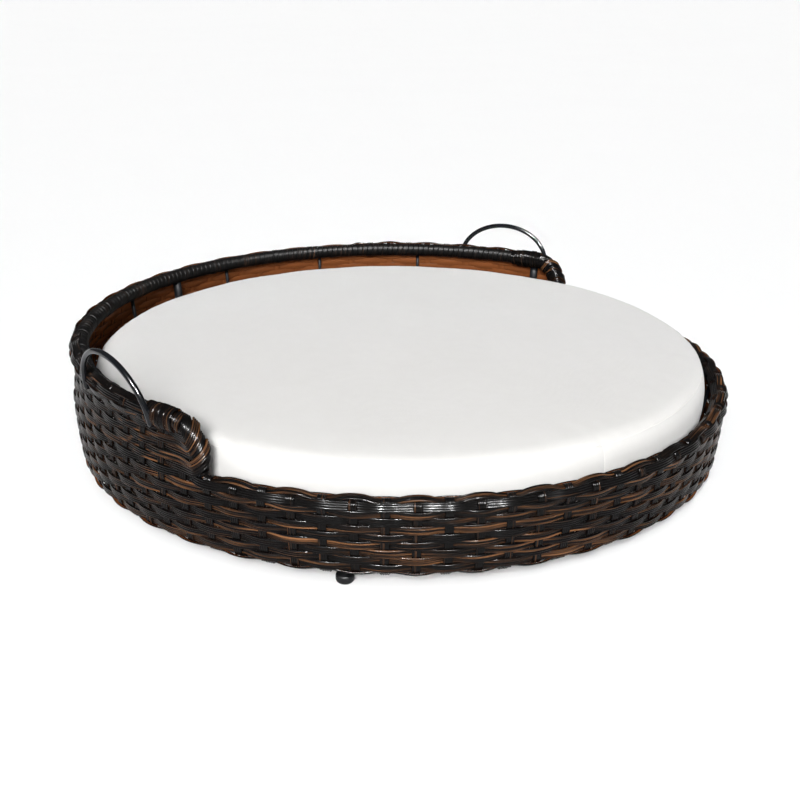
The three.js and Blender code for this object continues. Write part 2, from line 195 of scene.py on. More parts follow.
class Sweeps:
    """Closed sweeps of sections along paths, gathered into one mesh."""

    def __init__(self):
        self.points, self.faces, self.uvs = [], [], []
        self.sides, self.tints = [], []
        self.count = 0

    def add(self, path, out, section, tint=0.5, closed=False, u_start=0.0):
        """Sweeps a section whose y points along out. tint, for all or each point, is how golden it is."""
        if closed:
            along = np.roll(path, -1, 0) - np.roll(path, 1, 0)
        else:
            along = np.gradient(path, axis=0)
        along = unit(along)
        out = unit(out - along * np.sum(out * along, -1, keepdims=True))
        across = np.cross(out, along)
        n, m = len(path), len(section)
        x, y = section[:, 0], section[:, 1]
        points = path[:, None] + across[:, None] * x[None, :, None] + out[:, None] * y[None, :, None]
        self.points.append(points.reshape(-1, 3))
        self.sides.append(np.tile(section[:, 3], n))
        self.tints.append(np.repeat(np.broadcast_to(tint, n), m))

        nxt = np.roll(path, -1, 0) if closed else path[1:]
        lengths = np.linalg.norm(nxt - path[: len(nxt)], axis=1)
        u = u_start + np.concatenate([[0], np.cumsum(lengths)])
        i = np.arange(len(nxt))[:, None]
        j = np.arange(m)[None, :]
        i2, j2 = (i + 1) % n, (j + 1) % m
        quads = np.stack([i * m + j, i * m + j2, i2 * m + j2, i2 * m + j], -1) + self.count
        self.faces.extend(quads.reshape(-1, 4).tolist())
        v = section[:, 2]
        shape = (len(nxt), m)
        ua, ub = (np.broadcast_to(values[:, None], shape) for values in (u[:-1], u[1:]))
        va, vb = (np.broadcast_to(values, shape) for values in (v, np.roll(v, -1)))
        corners = ((ua, va), (ua, vb), (ub, vb), (ub, va))
        uv = np.stack([np.stack(corner, -1) for corner in corners], 2)
        self.uvs.append(uv.reshape(-1, 2))
        if not closed:
            first = list(range(self.count + m - 1, self.count - 1, -1))
            last = list(range(self.count + (n - 1) * m, self.count + n * m))
            for cap, at in ((first, u[0]), (last, u[-1])):
                self.faces.append(cap)
                self.uvs.append(np.column_stack([np.full(m, at), v]))
        self.count += n * m

    def build(self, name, material):
        mesh = bpy.data.meshes.new(name)
        mesh.from_pydata(np.concatenate(self.points).tolist(), [], self.faces)
        layer = mesh.uv_layers.new(name="UVMap")
        layer.data.foreach_set("uv", np.concatenate(self.uvs).astype(np.float32).ravel())
        for key, values in (("side", self.sides), ("tint", self.tints)):
            attribute = mesh.attributes.new(key, "FLOAT", "POINT")
            attribute.data.foreach_set("value", np.concatenate(values).astype(np.float32))
        mesh.polygons.foreach_set("use_smooth", np.ones(len(mesh.polygons), bool))
        mesh.materials.append(material)
        mesh.update()
        return add_object(name, mesh)


def one_sweep(name, path, out, section, material, tint=0.5, closed=False):
    sweeps = Sweeps()
    sweeps.add(path, out, section, tint, closed)
    return sweeps.build(name, material)


def lathe(name, profile, material, sides=96):
    """A closed solid of revolution about +Z from [radius, z] points, the ends on the axis."""
    mesh = bpy.data.meshes.new(name)
    inner = profile[1:-1]
    points = [(0, 0, profile[0][1])]
    for radius, z in inner:
        for i in range(sides):
            a = 2 * math.pi * i / sides
            points.append((radius * math.cos(a), radius * math.sin(a), z))
    points.append((0, 0, profile[-1][1]))
    faces = []
    for i in range(sides):
        nxt = (i + 1) % sides
        faces.append((0, 1 + nxt, 1 + i))
        for ring in range(len(inner) - 1):
            a, b = 1 + ring * sides, 1 + (ring + 1) * sides
            faces.append((a + i, a + nxt, b + nxt, b + i))
        a = 1 + (len(inner) - 1) * sides
        faces.append((a + i, a + nxt, len(points) - 1))
    mesh.from_pydata(points, [], faces)
    mesh.polygons.foreach_set("use_smooth", np.ones(len(mesh.polygons), bool))
    mesh.materials.append(material)
    return add_object(name, mesh)


# ---------- materials ----------


class Nodes:
    """A new material's node tree, with short calls to add and join nodes."""

    def __init__(self, name):
        self.material = bpy.data.materials.new(name)
        self.material.use_nodes = True
        self.tree = self.material.node_tree
        self.shader = self.tree.nodes["Principled BSDF"]

    def set(self, **values):
        for key, value in values.items():
            self.shader.inputs[key.replace("_", " ")].default_value = value

    def node(self, kind, inputs=None, **settings):
        made = self.tree.nodes.new(kind)
        for key, value in settings.items():
            setattr(made, key, value)
        for key, value in (inputs or {}).items():
            if isinstance(value, bpy.types.NodeSocket):
                self.tree.links.new(value, made.inputs[key])
            else:
                made.inputs[key].default_value = value
        return made

    def math(self, operation, a, b=0.0, clamp=False):
        return self.node("ShaderNodeMath", {0: a, 1: b}, operation=operation, use_clamp=clamp).outputs[0]

    def times(self, a, b, clamp=False):
        return self.math("MULTIPLY", a, b, clamp)

    def place(self):
        """Where a point is on the object."""
        return self.node("ShaderNodeTexCoord").outputs["Object"]

    def joined(self, x, y, z):
        return self.node("ShaderNodeCombineXYZ", {0: x, 1: y, 2: z}).outputs[0]

    def noise(self, vector, scale, detail=2.0, rough=0.5):
        inputs = {"Vector": vector, "Scale": scale, "Detail": detail, "Roughness": rough}
        return self.node("ShaderNodeTexNoise", inputs).outputs["Fac"]

    def ramp(self, fac, stops):
        made = self.node("ShaderNodeValToRGB", {"Fac": fac})
        elements = made.color_ramp.elements
        while len(elements) < len(stops):
            elements.new(0.5)
        for element, (position, colour) in zip(elements, stops):
            element.position = position
            element.color = (*colour, 1) if len(colour) == 3 else colour
        return made.outputs["Color"]

    def span(self, fac, low, high):
        """fac from 0..1 to low..high."""
        inputs = {"Value": fac, "To Min": low, "To Max": high}
        return self.node("ShaderNodeMapRange", inputs).outputs["Result"]

    def mix(self, fac, a, b):
        made = self.node("ShaderNodeMix", data_type="RGBA")
        for index, value in ((0, fac), (6, a), (7, b)):
            if isinstance(value, bpy.types.NodeSocket):
                self.tree.links.new(value, made.inputs[index])
            else:
                made.inputs[index].default_value = value if index == 0 else (*value, 1)
        return made.outputs[2]

    def to_shader(self, key, socket):
        self.tree.links.new(socket, self.shader.inputs[key])

    def bump(self, height, strength, distance, below=None):
        inputs = {"Height": height, "Strength": strength, "Distance": distance}
        if below is not None:
            inputs["Normal"] = below
        return self.node("ShaderNodeBump", inputs).outputs["Normal"]


RIDGES = 4  # round ridges across a strip's outer face
COLOUR_LINES = 8  # lines of their own shade across it


def rattan(name, dark, brown, golden, back_face, gloss=0.17):
    """Extruded plastic rattan: each line has its own shade, drifting along the strip."""
    n = Nodes(name)
    uv = n.node("ShaderNodeUVMap", uv_map="UVMap").outputs["UV"]
    u, v = n.node("ShaderNodeSeparateXYZ", {0: uv}).outputs[:2]
    tint = n.node("ShaderNodeAttribute", attribute_name="tint").outputs["Fac"]
    side = n.node("ShaderNodeAttribute", attribute_name="side").outputs["Fac"]
    line = n.math("FLOOR", n.times(v, COLOUR_LINES * 0.9999))
    drift = n.noise(n.joined(n.times(u, 9.0), n.times(line, 3.7), n.times(tint, 40.0)), 1.0, 1.0)
    fibre = n.noise(n.joined(n.times(u, 60.0), n.times(v, 26.0), n.times(tint, 25.0)), 1.0, 3.0, 0.6)
    shade = n.math("ADD", n.times(drift, 1.3), n.times(fibre, 0.35))
    shade = n.math("ADD", shade, n.times(tint, 0.5))
    shade = n.math("SUBTRACT", shade, 0.65, clamp=True)
    brightest = tuple(c * 2.4 for c in golden)
    colour = n.ramp(shade, [(0.45, dark), (0.57, brown), (0.72, golden), (0.98, brightest)])
    # Grooves between the ridges are darkened nearly to black: painted shade in the recesses
    groove = n.math("ABSOLUTE", n.math("SUBTRACT", n.math("FRACT", n.times(v, RIDGES)), 0.5))
    painted_groove_shade = n.times(n.math("SUBTRACT", groove, 0.36, clamp=True), 5.0, clamp=True)
    colour = n.mix(n.times(painted_groove_shade, 0.75), colour, (0.002, 0.0015, 0.001))
    # The flat back face takes its own colour; for the woven strips it is lighter orange-brown with painted
    # light bounced off the cushion
    inner = n.mix(n.span(fibre, 0.0, 1.0), back_face, tuple(c * 0.45 for c in back_face))
    colour = n.mix(side, inner, colour)
    n.to_shader("Base Color", colour)
    n.to_shader("Roughness", n.span(fibre, gloss - 0.05, gloss + 0.14))
    n.to_shader("Normal", n.bump(fibre, 0.25, 0.4 * MM))
    n.set(Specular_IOR_Level=0.09)
    return n.material


def painted_steel(name, rough, shine):
    n = Nodes(name)
    at = n.place()
    grain = n.noise(at, 900.0, 3.0)
    wear = n.noise(at, 35.0, 4.0, 0.6)
    colours = [(0.3, (0.002, 0.0025, 0.0035)), (0.75, (0.006, 0.007, 0.009))]
    n.to_shader("Base Color", n.ramp(wear, colours))
    n.to_shader("Roughness", n.span(wear, rough, rough + 0.18))
    n.to_shader("Normal", n.bump(grain, 0.05, 0.1 * MM))
    n.set(Specular_IOR_Level=shine)
    return n.material


def moulded_plastic():
    n = Nodes("moulded_plastic")
    at = n.place()
    grain = n.noise(at, 1400.0, 2.0)
    scuff = n.noise(at, 90.0, 5.0, 0.65)
    colours = [(0.35, (0.003, 0.003, 0.0035)), (0.8, (0.014, 0.014, 0.015))]
    n.to_shader("Base Color", n.ramp(scuff, colours))
    n.to_shader("Roughness", n.span(scuff, 0.3, 0.6))
    n.to_shader("Normal", n.bump(grain, 0.12, 0.15 * MM))
    n.set(Specular_IOR_Level=0.15)
    return n.material


def cloth(name, light, shade, thread=0.55 * MM, depth=0.35):
    """Plain woven cotton."""
    n = Nodes(name)
    at = n.place()
    x, y, z = n.node("ShaderNodeSeparateXYZ", {0: at}).outputs
    a, b, c = (n.math("SINE", n.times(part, 2 * math.pi / thread)) for part in (x, y, z))
    weave = n.math("ADD", n.times(a, b), n.times(c, n.math("ADD", a, b)))
    slub = n.noise(at, 60.0, 4.0, 0.6)
    patch = n.noise(at, 5.0, 2.0)
    tone = n.math("ADD", n.times(slub, 0.5), n.times(patch, 0.5))
    n.to_shader("Base Color", n.ramp(tone, [(0.3, shade), (0.7, light)]))
    fine = n.bump(weave, depth, 0.12 * MM)
    n.to_shader("Normal", n.bump(slub, 0.08, 0.6 * MM, fine))
    n.to_shader("Roughness", n.span(slub, 0.78, 0.95))
    n.set(Sheen_Weight=0.25, Sheen_Roughness=0.5, Specular_IOR_Level=0.25)
    return n.material


def open_foam():
    n = Nodes("open_foam")
    at = n.place()
    cells = n.node("ShaderNodeTexVoronoi", {"Vector": at, "Scale": 700.0}).outputs["Distance"]
    patch = n.noise(at, 12.0, 3.0)
    n.to_shader("Base Color", n.ramp(patch, [(0.3, (0.72, 0.62, 0.36)), (0.7, (0.84, 0.76, 0.5))]))
    n.to_shader("Normal", n.bump(cells, 0.5, 0.6 * MM))
    n.to_shader("Roughness", n.span(patch, 0.85, 1.0))
    return n.material


def zip_metal():
    n = Nodes("zip_metal")
    at = n.place()
    brushed = n.noise(at, 420.0, 4.0, 0.7)
    n.to_shader("Base Color", n.ramp(brushed, [(0.3, (0.34, 0.34, 0.33)), (0.7, (0.55, 0.55, 0.54))]))
    n.to_shader("Roughness", n.span(brushed, 0.22, 0.45))
    n.set(Metallic=1.0)
    return n.material


BLACK = (0.0025, 0.0022, 0.0022)
DARK_BROWN = (0.022, 0.011, 0.006)
GOLDEN = (0.108, 0.048, 0.020)
# Back face of the woven strips: lighter orange-brown, brightened with painted light bounced off the cushion
# onto the inner wall
BACK_FACE_AND_BOUNCE_LIGHT = (0.21, 0.068, 0.022)

steel = painted_steel("painted_steel", 0.10, 0.3)
hidden_steel = painted_steel("dull_painted_steel", 0.45, 0.15)
weft_rattan = rattan("weft_rattan", BLACK, DARK_BROWN, GOLDEN, BACK_FACE_AND_BOUNCE_LIGHT)
stake_rattan = rattan("stake_rattan", BLACK, (0.02, 0.011, 0.007), (0.10, 0.04, 0.015), BACK_FACE_AND_BOUNCE_LIGHT)
wrap_rattan = rattan(
    "wrap_rattan", BLACK, (0.018, 0.011, 0.008), (0.06, 0.030, 0.016), (0.03, 0.015, 0.01), 0.36
)
floor_rattan = rattan("floor_rattan", BLACK, DARK_BROWN, GOLDEN, BACK_FACE_AND_BOUNCE_LIGHT, 0.4)
plastic = moulded_plastic()
cover_cloth = cloth("cover_cloth", (0.575, 0.568, 0.556), (0.545, 0.537, 0.522))
tape_cloth = cloth("tape_cloth", (0.66, 0.65, 0.61), (0.58, 0.57, 0.53), 0.9 * MM, 0.6)
thread_cloth = cloth("thread_cloth", (0.70, 0.69, 0.66), (0.6, 0.59, 0.56), 0.4 * MM, 0.6)
foam = open_foam()
metal = zip_metal()


# ---------- the surface that the weave follows ----------


def arc(radius, z, rho, first, last, steps=24):
    """[radius, z] points on a circle, at angles in degrees above the outward direction."""
    a = np.radians(np.linspace(first, last, steps))
    return np.column_stack([radius + rho * np.cos(a), z + rho * np.sin(a)])


class Profile:
    """The middle of the weave, as radius and height by the length s along it."""

    def __init__(self, points):
        points = np.array(points)
        s = np.concatenate([[0], np.cumsum(np.linalg.norm(np.diff(points, axis=0), axis=1))])
        fine = np.arange(0, s[-1], 0.5 * MM)
        line = np.column_stack([np.interp(fine, s, points[:, k]) for k in (0, 1)])
        line = averaged(line, 12)
        along = unit(np.gradient(line, axis=0))
        low = np.argmin(np.where(line[:, 0] > BASE_RING_RADIUS, np.abs(line[:, 1] - ANCHOR_Z), 1.0))
        self.s = fine - fine[low]
        self.line = line
        self.normal = np.column_stack([along[:, 1], -along[:, 0]])

    def at(self, s):
        """Radius, height and the outward normal's two parts."""
        values = [np.interp(s, self.s, self.line[:, k]) for k in (0, 1)]
        values += [np.interp(s, self.s, self.normal[:, k]) for k in (0, 1)]
        return np.array(values)

    def s_at_height(self, z):
        """The length at which the outer side is at a height."""
        outer = (self.s > -80 * MM) & (self.s < 72 * MM)
        return np.interp(z, self.line[outer, 1], self.s[outer])


def wall_middle(z):
    t = np.clip((z - WALL_BOTTOM_Z) / (WALL_STRAIGHT_Z - WALL_BOTTOM_Z), 0, 1)
    return WALL_OUTER_RADIUS - WALL_FLARE * (1 - t) ** 2 - WEAVE_DEPTH


HOOK_RHO = 9.1 * MM  # stakes under the base ring
BORDER_RHO = 9.2 * MM  # weave over the low rail
OVER_HOOP_RHO = 11.2 * MM  # weave over the wrapped high rim

hook = arc(BASE_RING_RADIUS, BASE_RING_Z, HOOK_RHO, -175, -28)
heights = np.linspace(21 * MM, 86 * MM, 30)
wall_line = np.column_stack([wall_middle(heights), heights])
over_rail = arc(RIM_RADIUS, LOW_RIM_Z, BORDER_RHO, -32, 200, 40)
back_heights = np.linspace(90, 146, 20) * MM
back_lean = RIM_INSET * smooth_step((back_heights - 92 * MM) / (60 * MM))
up_back = np.column_stack([WALL_OUTER_RADIUS - WEAVE_DEPTH - back_lean, back_heights])
over_hoop = arc(HIGH_RIM_RADIUS, HIGH_RIM_Z, OVER_HOOP_RHO, -40, 110, 30)

front_profile = Profile(np.vstack([hook, wall_line, over_rail]))
back_profile = Profile(np.vstack([hook, wall_line, up_back, over_hoop]))


def back_share(turn):
    """1 round the high back, 0 across the low front."""
    away = np.abs((np.asarray(turn) + 180) % 360 - 180)
    return smooth_step((95.6 - away) / 3)


def surface(turn, s, lift, s_back=None):
    """Points and outward vectors at turns, lengths up the profile, and heights off it."""
    share = back_share(turn)
    front = front_profile.at(s)
    back = back_profile.at(s if s_back is None else s_back)
    radius, z, nr, nz = front * (1 - share) + back * share
    out = outward(turn) * nr[..., None]
    out[..., 2] = nz
    out = unit(out)
    return place(turn, radius, z) + out * lift[..., None], out


def stake_count(turn):
    """How many stake pitches a turn is past stake 0."""
    return (turn - FIRST_STAKE_TURN) / STAKE_PITCH


def weave_lift(count, row, reach):
    """How far a row stands out at a place, in front of every second stake."""
    swing = -np.cos(np.pi * (count + row))
    return reach * np.sign(swing) * np.abs(swing) ** 0.75


def row_s(row):
    return (row - ANCHOR_ROW) * ROW_PITCH


def back_row_s(index):
    """How far up the profile a row of the high back is."""
    return row_s(SHARED_ROWS - 1) + (index + 1) * BACK_ROW_PITCH


# ---------- the woven wall ----------

WEFT = ridged_section(10.2 * MM, 1.7 * MM, RIDGES)
STAKE = ridged_section(10.0 * MM, 1.5 * MM, RIDGES)
ROW_TINTS = [0.12, 0.66, 0.55, 0.46, 0.58, 0.42, 0.60, 0.44, 0.62, 0.10]
ROW_REACH = 1.7 * MM  # how far a row stands out over a stake
BOTTOM_ROW_REACH = 1.6 * MM


def keep(piece, body, slot, *nodes):
    """Rides a piece on its body and hides the CAD nodes it stands for; slot, its finish, is not used."""
    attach(piece, body)
    if nodes:
        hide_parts(*nodes)
    return piece


def weft_row(row):
    """A row of weave all the way round."""
    rng = random.Random(100 + row)
    start = JOIN_STAKE + row % 2  # the ends meet behind a stake at the back
    stake = start + np.arange(STAKES * STATIONS_PER_STAKE) / STATIONS_PER_STAKE
    turn = FIRST_STAKE_TURN + STAKE_PITCH * stake
    reach = BOTTOM_ROW_REACH if row == 0 else ROW_REACH
    lift = weave_lift(stake_count(turn), row, 1.0)
    lift = lift * (reach + waves(rng, 0.3 * MM, (5, 11, 23, 37))(turn))
    s = row_s(row) + waves(rng, 0.35 * MM)(turn)
    path, out = surface(turn, s, lift)
    return one_sweep(f"weft_row_{row:02d}", path, out, WEFT, weft_rattan, ROW_TINTS[row], closed=True)


wall_rows = [weft_row(row) for row in range(SHARED_ROWS)]
for piece in wall_rows:
    keep(piece, "basket", "weave")
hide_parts("woven_wall")


def back_stake_top(turn):
    """How far up a stake of the high back goes: under the bend, over the rim or to its outer side."""
    away = abs((turn + 180) % 360 - 180)
    share = (away - BEND_START_TURN) / (LEG_TURN - BEND_START_TURN)
    if share > 0:
        drop = BEND_HEIGHT * (1 - math.sqrt(1 - min(share, 1) ** 2))
        return float(back_profile.s_at_height(HIGH_RIM_Z - drop - 6 * MM))
    if OVER_RIM_FIRST < away < OVER_RIM_LAST:
        return back_profile.s[-1] - 2 * MM
    return back_row_s(BACK_ROWS + 1) + 5 * MM


def stakes(name, first, last, profile):
    """The upright strips from one stake number to another."""
    sweeps = Sweeps()
    bottom_s = profile.s[0] + 3 * MM
    for number in range(first, last):
        rng = random.Random(500 + number)
        top_s = profile.s[-1] - 2 * MM
        if profile is back_profile:
            top_s = back_stake_top(FIRST_STAKE_TURN + STAKE_PITCH * number)
        s = np.arange(bottom_s, top_s, 2.3 * MM)
        row = s / ROW_PITCH + ANCHOR_ROW
        lean = rng.uniform(-0.25, 0.25)
        turn = FIRST_STAKE_TURN + STAKE_PITCH * number + lean * np.clip(s / (60 * MM), -1, 1)
        in_wall = smooth_step((row + 0.6) / 0.8)
        on_rail = smooth_step((row - 9.2) / 0.6) if profile is front_profile else 0
        swing = np.cos(np.pi * (number + row))
        lift = in_wall * swing * (0.35 + 0.75 * on_rail) * MM - on_rail * 0.5 * MM
        path, out = surface(turn, s, lift)
        sweeps.add(path, out, STAKE, rng.uniform(0.1, 0.45), u_start=rng.uniform(0, 9))
    return sweeps.build(name, stake_rattan)


# Stake numbers of the low front, counted from FIRST_STAKE_TURN, and of the high back
FRONT_FIRST = math.ceil(stake_count(LEG_TURN + 1))
FRONT_LAST = math.floor(stake_count(360 - LEG_TURN - 1)) + 1
MIDDLE = (FRONT_FIRST + FRONT_LAST) // 2
BACK_LAST = FRONT_FIRST + STAKES
BACK_MIDDLE = (FRONT_LAST + BACK_LAST) // 2
keep(stakes("stakes_front_left", FRONT_FIRST, MIDDLE, front_profile), "basket", "weave")
keep(stakes("stakes_front_right", MIDDLE, FRONT_LAST, front_profile), "basket", "weave")
keep(stakes("stakes_back_right", FRONT_LAST, BACK_MIDDLE, back_profile), "basket", "weave")
keep(stakes("stakes_back_left", BACK_MIDDLE, BACK_LAST, back_profile), "basket", "weave")


# ---------- the low border ----------


def border_row(index, row, reach, sink, tint):
    """A row over the low rail, from leg to leg."""
    rng = random.Random(200 + index)
    first, last = LEG_TURN + 1.0, 360 - LEG_TURN - 1.0
    turn = np.linspace(first, last, int((last - first) / STAKE_PITCH * STATIONS_PER_STAKE))
    lift = weave_lift(stake_count(turn), row, reach) + sink
    tucked = smooth_step(np.minimum(turn - first, last - turn) / 3.0)
    lift = lift * tucked - 2.5 * MM * (1 - tucked)
    s = row_s(row) + waves(rng, 0.3 * MM)(turn)
    path, out = surface(turn, s, lift, np.full_like(turn, back_profile.s_at_height(LOW_RIM_Z + 8 * MM)))
    return one_sweep(f"border_row_{index}", path, out, WEFT, weft_rattan, tint)


border = [
    border_row(1, 10, 2.6 * MM, 0.1 * MM, 0.62),
    border_row(2, 11, 0.8 * MM, -0.9 * MM, 0.40),
    border_row(3, 12, 0.5 * MM, -0.7 * MM, 0.25),
]
for piece in border:
    keep(piece, "basket", "wrap")
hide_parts("low_border")


# ---------- the turned-down ends of the high rim ----------


class EndTube:
    """The centre line of the rim tube down one end, by length t from where it is level."""

    def __init__(self, side):
        self.side = side
        bend = np.radians(np.linspace(0, 90, 40))
        bent = BEND_START_TURN + (LEG_TURN - BEND_START_TURN) * np.sin(bend)
        turns = np.concatenate([[LEVEL_END_TURN], bent, [LEG_TURN]])
        drops = np.concatenate([[0], BEND_HEIGHT * (1 - np.cos(bend)), [HIGH_RIM_Z - LEG_BOTTOM_Z]])
        self.turns, self.z = side * turns, HIGH_RIM_Z - drops
        share = (self.z - LEG_BOTTOM_Z) / (HIGH_RIM_Z - LEG_BOTTOM_Z)
        points = place(self.turns, RIM_RADIUS - RIM_INSET * share, self.z)
        self.t = np.concatenate([[0], np.cumsum(np.linalg.norm(np.diff(points, axis=0), axis=1))])
        self.points = points
        self.length = self.t[-1]

    def at(self, t, angle, rho):
        """Points and outward vectors round the tube, at angles from outside (90) to the front (0)."""
        centre = np.column_stack([np.interp(t, self.t, self.points[:, k]) for k in range(3)])
        step = 1 * MM
        ahead = np.column_stack([np.interp(t + step, self.t, self.points[:, k]) for k in range(3)])
        behind = np.column_stack([np.interp(t - step, self.t, self.points[:, k]) for k in range(3)])
        along = unit(ahead - behind)
        away = unit(centre * [1, 1, 0])
        along = unit(along - away * np.sum(away * along, -1, keepdims=True))
        ahead_of = np.cross(away, along) * self.side
        a = np.radians(angle)[:, None]
        out = np.sin(a) * away + np.cos(a) * ahead_of
        return centre + out * np.reshape(rho, (-1, 1)), out

    def t_at_height(self, z):
        return float(np.interp(-z, -self.z, self.t))

    def turn_at_height(self, z):
        return float(np.interp(-z, -self.z, np.abs(self.turns)))


WRAP = ridged_section(8.5 * MM, 1.5 * MM, RIDGES, 3)
WRAP_PITCH = 8.7 * MM
END_STATIONS = 22  # points in each round of the ends' winding
WRAP_RHO = 9.4 * MM
LOOP_RHO = 11.5 * MM


ends = {side: EndTube(side) for side in (1, -1)}


def loop_end(side, row_z, rho, rng):
    """The end of a back row: off the wall, up round the end tube and in behind it."""
    tube = ends[side]
    t_row = tube.t_at_height(row_z)
    angle = np.linspace(105, -165, 36)
    climb = np.clip((105 - angle) / 140, 0, 1) ** 1.2 * min(rng.uniform(15, 21) * MM, t_row - 6 * MM)
    return tube.at(t_row - climb, angle, rho)


BACK_ROW_TINTS = [0.42, 0.50, 0.36, 0.55, 0.3]
LOOP_TINT = 0.1  # how much more golden a row is where it loops round an end


def back_row(index):
    """A row of the high back, with both ends looped round the end tubes."""
    rng = random.Random(300 + index)
    row = SHARED_ROWS + index
    z = float(back_profile.at(back_row_s(index))[1])
    end_turn = {side: ends[side].turn_at_height(z) - 1.9 for side in (1, -1)}
    steps = int((end_turn[1] + end_turn[-1]) / STAKE_PITCH * STATIONS_PER_STAKE)
    turn = np.linspace(-end_turn[-1], end_turn[1], steps)
    reach = 1.35 * MM + waves(rng, 0.3 * MM, (5, 11, 23, 37))(turn)
    lift = weave_lift(stake_count(turn + 360), row, 1.0) * reach
    near_end = smooth_step((np.abs(turn) - 89.5) / 2.0)
    lift = lift * (1 - near_end) + 1.2 * MM * near_end
    s = back_row_s(index) + waves(rng, 0.3 * MM)(turn)
    path, out = surface(turn, s, lift)
    rho = LOOP_RHO + (1.9 * MM if index % 2 else -0.5 * MM)
    left_path, left_out = loop_end(1, z, rho, rng)
    right_path, right_out = loop_end(-1, z, rho, rng)
    path = np.vstack([right_path[::-1], path, left_path])
    out = np.vstack([right_out[::-1], out, left_out])
    path, out = averaged(path, 2), unit(averaged(out, 2))
    tint = np.full(len(path), BACK_ROW_TINTS[index])
    ends_in = np.minimum(np.arange(len(path)), np.arange(len(path))[::-1])
    tint += LOOP_TINT * smooth_step((60 - ends_in) / 20)
    return one_sweep(f"back_row_{index + 1}", path, out, WEFT, weft_rattan, tint)


for index in range(BACK_ROWS):
    keep(back_row(index), "basket", "weave")


def rim_row(name, index, first, last):
    """A row over the high rim, its ends tucked in."""
    rng = random.Random(340 + index)
    turn = np.linspace(first, last, int((last - first) / STAKE_PITCH * STATIONS_PER_STAKE))
    reach = 1.2 * MM + waves(rng, 0.3 * MM)(turn)
    lift = weave_lift(stake_count(turn + 360), SHARED_ROWS + index, 1.0) * reach
    tucked = smooth_step(np.minimum(turn - first, last - turn) / 2.5)
    s = back_row_s(index) + waves(rng, 0.3 * MM)(turn)
    path, out = surface(turn, s, lift * tucked - 3.0 * MM * (1 - tucked))
    return one_sweep(name, path, out, WEFT, weft_rattan, rng.uniform(0.25, 0.45))


for name, index in (("rim_row_outer", BACK_ROWS), ("rim_row_top", BACK_ROWS + 1)):
    keep(rim_row(name, index, -88.5, 88.5), "basket", "weave")
for side, name in ((1, "left"), (-1, "right")):
    first, last = sorted((side * (OVER_RIM_FIRST - 2), side * (OVER_RIM_LAST + 2)))
    keep(rim_row(f"rim_row_crown_{name}", BACK_ROWS + 2, first, last), "basket", "weave")


END_TINTS_RIGHT_SHADED = {1: 0.5, -1: 0.3}  # how golden the winding of the left and the right end is; the right one is less golden as painted shade for the side away from the light


def end_wrap(name, side):
    """Strip wound tightly round the end tube."""
    tube = ends[side]
    length = tube.length - 1 * MM
    rounds = length / WRAP_PITCH
    share = np.linspace(0, 1, int(rounds * END_STATIONS))
    angle = 360 * rounds * share
    rng = random.Random(17 + side)
    swell = waves(rng, 0.5 * MM, (7, 16, 31))(share * 360)
    path, out = tube.at(share * length, angle * side, WRAP_RHO + swell)
    return one_sweep(name, path, out, WRAP, weft_rattan, END_TINTS_RIGHT_SHADED[side])


BEND_WRAP_BEFORE = 44 * MM  # how far this layer runs on the level rim, and down the end
BEND_WRAP_AFTER = 12 * MM
BEND_WRAP_RHO = 13.2 * MM


def turned_by(points, turn):
    """Points or vectors turned round +Z by a turn each."""
    x, y, z = points.T
    c, s = np.cos(np.radians(turn)), np.sin(np.radians(turn))
    return np.column_stack([x * c - y * s, x * s + y * c, z])


def bend_wrap(name, side):
    """A second layer of strip over the rim's rows, where the tube begins to turn down."""
    tube = ends[side]
    before = BEND_WRAP_BEFORE
    rounds = (before + BEND_WRAP_AFTER) / WRAP_PITCH
    share = np.linspace(0, 1, int(rounds * END_STATIONS))
    t = share * (before + BEND_WRAP_AFTER) - before
    angle = 360 * rounds * share * side
    rng = random.Random(27 + side)
    rho = BEND_WRAP_RHO - 3 * MM * np.abs(2 * share - 1) ** 3 + waves(rng, 0.6 * MM, (7, 16, 31))(share * 360)
    on_tube, out = tube.at(np.maximum(t, 1.5 * MM), angle, rho)
    back = np.degrees(np.minimum(t - 1.5 * MM, 0) / RIM_RADIUS) * side
    path, out = turned_by(on_tube, back), turned_by(out, back)
    return one_sweep(name, path, out, WRAP, weft_rattan, END_TINTS_RIGHT_SHADED[side])


keep(bend_wrap("bend_wrap_left", 1), "basket", "wrap")
keep(bend_wrap("bend_wrap_right", -1), "basket", "wrap")
keep(end_wrap("end_wrap_strip_left", 1), "basket", "wrap", "end_wrap_left")
keep(end_wrap("end_wrap_strip_right", -1), "basket", "wrap", "end_wrap_right")


# ---------- the high rim's wrap ----------


def ring_wrap(name, radius, z, rho, first, last, section, per_round, bumps, tint, seed, closed=False):
    """Strip wound tightly round a level ring, per_round points in each round."""
    rng = random.Random(seed)
    length = math.radians(last - first) * radius
    rounds = round(length / WRAP_PITCH)
    count = rounds * per_round
    share = np.arange(count) / count if closed else np.linspace(0, 1, count)
    turn = first + (last - first) * share
    angle = 2 * math.pi * rounds * share
    swell = waves(rng, bumps, (17, 29, 47, 83, 131))(turn)
    away = outward(turn)
    up = np.array([0, 0, 1.0])
    out = np.cos(angle)[:, None] * away + np.sin(angle)[:, None] * up
    path = place(turn, radius, z) + out * (rho + swell)[:, None]
    return one_sweep(name, path, out, section, wrap_rattan, tint, closed)


rim = ring_wrap(
    "rim_wrap_strip", HIGH_RIM_RADIUS, HIGH_RIM_Z, WRAP_RHO, -LEVEL_END_TURN, LEVEL_END_TURN, WRAP,
    per_round=20, bumps=0.6 * MM, tint=0.35, seed=11,
)
keep(rim, "basket", "wrap", "rim_wrap")

